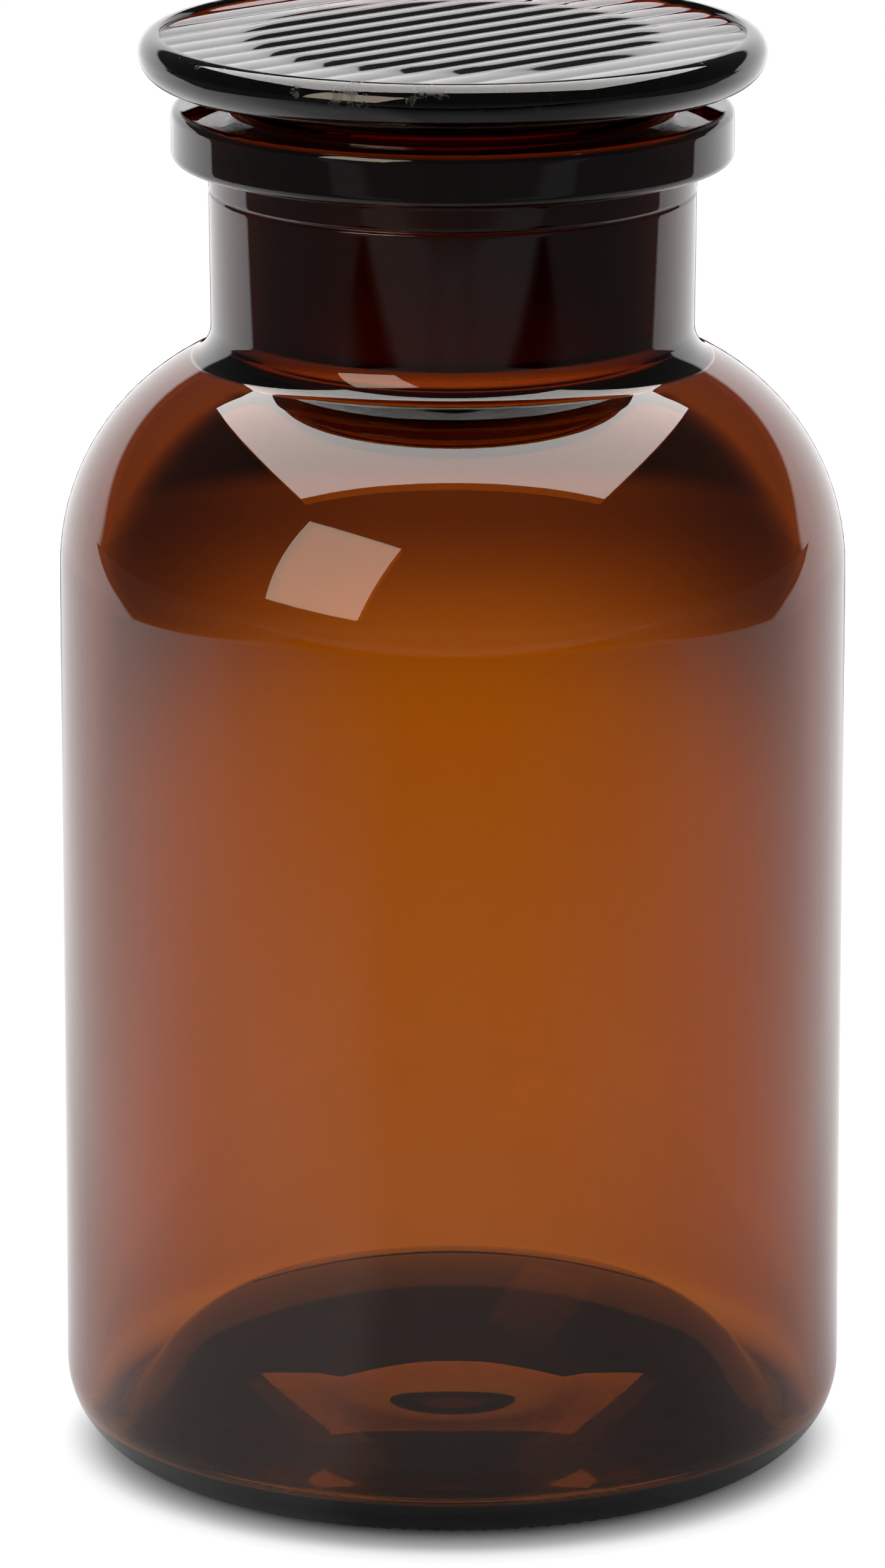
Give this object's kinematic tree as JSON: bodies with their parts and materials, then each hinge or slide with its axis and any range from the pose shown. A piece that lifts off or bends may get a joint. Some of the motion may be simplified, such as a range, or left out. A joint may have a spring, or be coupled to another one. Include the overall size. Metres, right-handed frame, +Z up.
{
  "type": "glass-stoppered bottle",
  "caption": "Round wide-mouth amber glass bottle with a flanged lip, a punted base and a ground-in hollow stopper whose flat disc top is reeded.",
  "frame": {"origin": "centre of the bearing ring on the surface that the bottle stands on", "axes": "+Z up along the axis of bottle and stopper, +X to the right and -Y towards the viewer of the pictured side"},
  "size_m": [0.107, 0.107, 0.1976],
  "materials": {
    "amber_glass": "clear amber glass, fire polished outside, finely ground on the taper of the joint"
  },
  "bodies": {
    "bottle": {"bottle": "amber_glass"},
    "stopper": {"stopper": "amber_glass"}
  },
  "joints": [
    {"name": "stopper_lift", "type": "slide", "parent": "bottle", "child": "stopper", "axis": [0, 0, 1], "range_m": [0, 0.06]}
  ]
}
